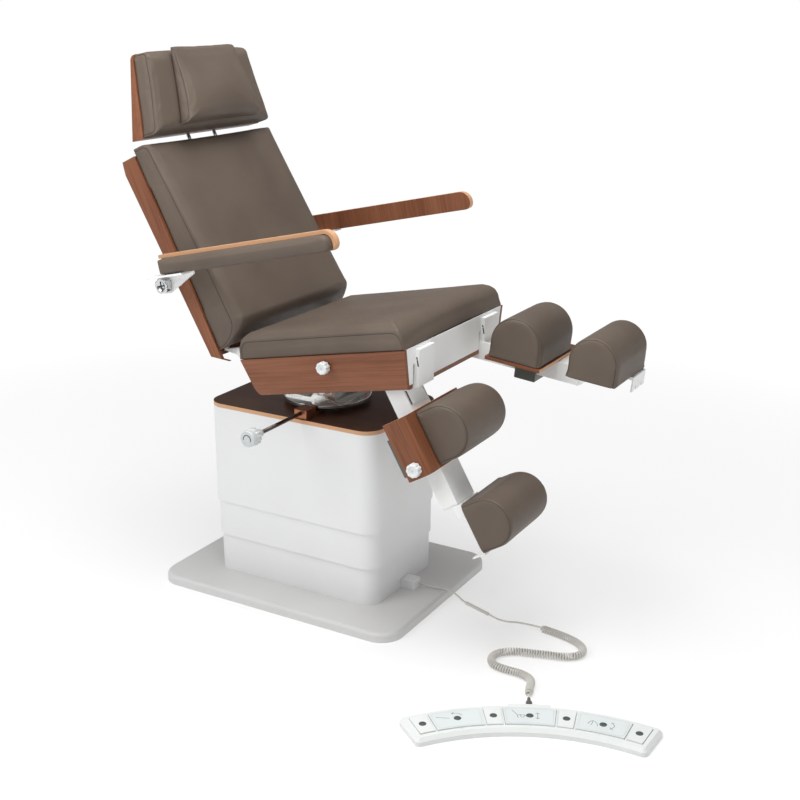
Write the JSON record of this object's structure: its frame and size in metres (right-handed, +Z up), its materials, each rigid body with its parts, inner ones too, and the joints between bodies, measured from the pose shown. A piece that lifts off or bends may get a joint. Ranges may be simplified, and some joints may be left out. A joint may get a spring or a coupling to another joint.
{
  "type": "podiatry chair",
  "caption": "Powered podiatry chair on a telescopic box column with split leg rests, reclining back and wired foot control.",
  "frame": {"origin": "centre of the base plate's underside, on the floor", "axes": "+X toward the patient's feet, +Y to the patient's left, +Z up"},
  "size_m": [1.7344, 1.1239, 1.6347],
  "materials": {
    "steel_white": "satin",
    "plate_grey": "satin",
    "cover_white": "satin",
    "walnut": "satin",
    "plywood": "satin",
    "leatherette": "satin",
    "stainless": "satin",
    "steel_dark": "satin",
    "copper_paint": "satin",
    "chrome": "polished",
    "knob_black": "satin",
    "carriage_grey": "satin",
    "control_white": "satin",
    "rocker_grey": "satin",
    "key_dark": "matte",
    "cord_beige": "matte",
    "relief_dark": "matte"
  },
  "bodies": {
    "base": {"base_plate": "plate_grey", "cover_lower": "cover_white", "column_foot": "steel_dark", "lift_motor": "steel_dark", "cable_socket": "cover_white", "control_housing": "control_white", "cord_inlet": "relief_dark", "control_lead": "cord_beige", "cord_coupler": "cord_beige", "curly_cord": "cord_beige"},
    "lift_middle": {"cover_middle": "cover_white", "column_middle": "steel_dark"},
    "lift": {"cover_upper": "cover_white", "lid_board": "walnut", "column_head": "stainless", "lock_block": "copper_paint"},
    "lock": {"lock_lever": "chrome"},
    "swivel": {"turntable": "stainless"},
    "seat": {"seat_carrier": "steel_white", "seat_tray": "walnut", "seat_frame": "steel_dark", "leg_mount": "steel_white", "seat_cushion": "leatherette"},
    "seat_knob": {"seat_knob_right": "knob_black"},
    "backrest": {"back_shell": "walnut", "back_frame": "steel_dark", "back_cushion": "leatherette"},
    "headrest": {"head_pins": "chrome", "head_shell": "walnut", "head_cushion": "leatherette", "head_pillow": "leatherette"},
    "arm_right": {"arm_board_right": "plywood", "arm_pad_right": "leatherette", "arm_bracket_right": "steel_white"},
    "arm_clamp_right": {"arm_knob_right": "chrome"},
    "leg_right": {"leg_rail_right": "steel_white"},
    "calf_right": {"calf_shell_right": "walnut", "calf_carriage_right": "carriage_grey", "calf_cushion_right": "leatherette"},
    "calf_clamp_right": {"calf_knob_right": "knob_black"},
    "foot_right": {"foot_carrier_right": "steel_white", "foot_cushion_right": "leatherette"},
    "arm_left": {"arm_board_left": "plywood", "arm_pad_left": "leatherette", "arm_bracket_left": "steel_white"},
    "arm_clamp_left": {"arm_knob_left": "chrome"},
    "leg_left": {"leg_rail_left": "steel_white"},
    "calf_left": {"calf_shell_left": "walnut", "calf_carriage_left": "carriage_grey", "calf_cushion_left": "leatherette"},
    "calf_clamp_left": {"calf_knob_left": "knob_black"},
    "foot_left": {"foot_carrier_left": "steel_white", "foot_cushion_left": "leatherette"},
    "rocker_left_body": {"rocker_left": "rocker_grey"},
    "rocker_middle_body": {"rocker_middle": "rocker_grey"},
    "rocker_right_body": {"rocker_right": "rocker_grey"},
    "key_one_body": {"key_one": "key_dark"},
    "key_two_body": {"key_two": "key_dark"},
    "key_three_body": {"key_three": "key_dark"},
    "key_four_body": {"key_four": "key_dark"}
  },
  "joints": [
    {"name": "lift_slide", "type": "slide", "parent": "base", "child": "lift", "axis": [0, 0, 1], "range_m": [-0.18, 0.17]},
    {"name": "lift_middle_slide", "type": "slide", "parent": "base", "child": "lift_middle", "axis": [0, 0, 1], "range_m": [-0.09, 0.085]},
    {"name": "lock_turn", "type": "hinge", "parent": "lift", "child": "lock", "pos_m": [0.045, -0.3, 0.603], "axis": [0, 1, 0], "range_deg": [0, 90]},
    {"name": "seat_swivel", "type": "hinge", "parent": "lift", "child": "swivel", "pos_m": [0.015, 0, 0.6], "axis": [0, 0, 1], "range_deg": [-40, 90]},
    {"name": "seat_tilt", "type": "hinge", "parent": "swivel", "child": "seat", "pos_m": [0.06, 0, 0.65], "axis": [0, 1, 0], "range_deg": [-9, 10.9]},
    {"name": "seat_knob_turn", "type": "hinge", "parent": "seat", "child": "seat_knob", "pos_m": [0.20433, -0.3, 0.79592], "axis": [0, 1, 0], "range_deg": [-90, 90]},
    {"name": "backrest_recline", "type": "hinge", "parent": "seat", "child": "backrest", "pos_m": [-0.11229, 0, 0.78485], "axis": [0, -1, 0], "range_deg": [-8, 65]},
    {"name": "headrest_slide", "type": "slide", "parent": "backrest", "child": "headrest", "axis": [-0.4163, 0, 0.9092], "range_m": [-0.004, 0.1]},
    {"name": "arm_right_raise", "type": "hinge", "parent": "backrest", "child": "arm_right", "pos_m": [-0.292, -0.36, 0.983], "axis": [0, -1, 0], "range_deg": [0, 95]},
    {"name": "arm_right_knob_turn", "type": "hinge", "parent": "arm_right", "child": "arm_clamp_right", "pos_m": [-0.292, -0.37, 0.983], "axis": [0, 1, 0], "range_deg": [-90, 90]},
    {"name": "leg_right_raise", "type": "hinge", "parent": "seat", "child": "leg_right", "pos_m": [0.38, -0.198, 0.788], "axis": [0, -1, 0], "range_deg": [-2, 70]},
    {"name": "calf_right_slide", "type": "slide", "parent": "leg_right", "child": "calf_right", "axis": [0.5, 0, -0.866], "range_m": [0, 0.11]},
    {"name": "calf_right_knob_turn", "type": "hinge", "parent": "calf_right", "child": "calf_clamp_right", "pos_m": [0.5069, -0.33, 0.5622], "axis": [0, 1, 0], "range_deg": [-90, 90]},
    {"name": "foot_right_slide", "type": "slide", "parent": "leg_right", "child": "foot_right", "axis": [0.5, 0, -0.866], "range_m": [0, 0.08]},
    {"name": "arm_left_raise", "type": "hinge", "parent": "backrest", "child": "arm_left", "pos_m": [-0.292, 0.36, 0.983], "axis": [0, -1, 0], "range_deg": [0, 95]},
    {"name": "arm_left_knob_turn", "type": "hinge", "parent": "arm_left", "child": "arm_clamp_left", "pos_m": [-0.292, 0.37, 0.983], "axis": [0, 1, 0], "range_deg": [-90, 90]},
    {"name": "leg_left_raise", "type": "hinge", "parent": "seat", "child": "leg_left", "pos_m": [0.38, 0.198, 0.788], "axis": [0, -1, 0], "range_deg": [-56, 16]},
    {"name": "calf_left_slide", "type": "slide", "parent": "leg_left", "child": "calf_left", "axis": [0.9945, 0, -0.1045], "range_m": [-0.042, 0.068]},
    {"name": "calf_left_knob_turn", "type": "hinge", "parent": "calf_left", "child": "calf_clamp_left", "pos_m": [0.67904, 0.33, 0.75355], "axis": [0, 1, 0], "range_deg": [-90, 90]},
    {"name": "foot_left_slide", "type": "slide", "parent": "leg_left", "child": "foot_left", "axis": [0.9945, 0, -0.1045], "range_m": [0, 0.08]},
    {"name": "rocker_left_rock", "type": "hinge", "parent": "base", "child": "rocker_left_body", "pos_m": [0.77703, -0.58027, 0.0185], "axis": [-0.6704, 0.742, 0], "range_deg": [-3, 3], "stiffness_Nm_per_rad": 4},
    {"name": "rocker_middle_rock", "type": "hinge", "parent": "base", "child": "rocker_middle_body", "pos_m": [0.931, -0.477, 0.0185], "axis": [-0.4321, 0.9018, 0], "range_deg": [-3, 3], "stiffness_Nm_per_rad": 4},
    {"name": "rocker_right_rock", "type": "hinge", "parent": "base", "child": "rocker_right_body", "pos_m": [1.10796, -0.42171, 0.0185], "axis": [-0.1582, 0.9874, 0], "range_deg": [-3, 3], "stiffness_Nm_per_rad": 4},
    {"name": "key_one_press", "type": "slide", "parent": "base", "child": "key_one_body", "axis": [0, 0, -1], "range_m": [0, 0.003], "stiffness_N_per_m": 1500, "springref_m": -0.002},
    {"name": "key_two_press", "type": "slide", "parent": "base", "child": "key_two_body", "axis": [0, 0, -1], "range_m": [0, 0.003], "stiffness_N_per_m": 1500, "springref_m": -0.002},
    {"name": "key_three_press", "type": "slide", "parent": "base", "child": "key_three_body", "axis": [0, 0, -1], "range_m": [0, 0.003], "stiffness_N_per_m": 1500, "springref_m": -0.002},
    {"name": "key_four_press", "type": "slide", "parent": "base", "child": "key_four_body", "axis": [0, 0, -1], "range_m": [0, 0.003], "stiffness_N_per_m": 1500, "springref_m": -0.002}
  ],
  "couplings": [
    {"joint": "lift_middle_slide", "follows": "lift_slide", "ratio": 0.5}
  ]
}
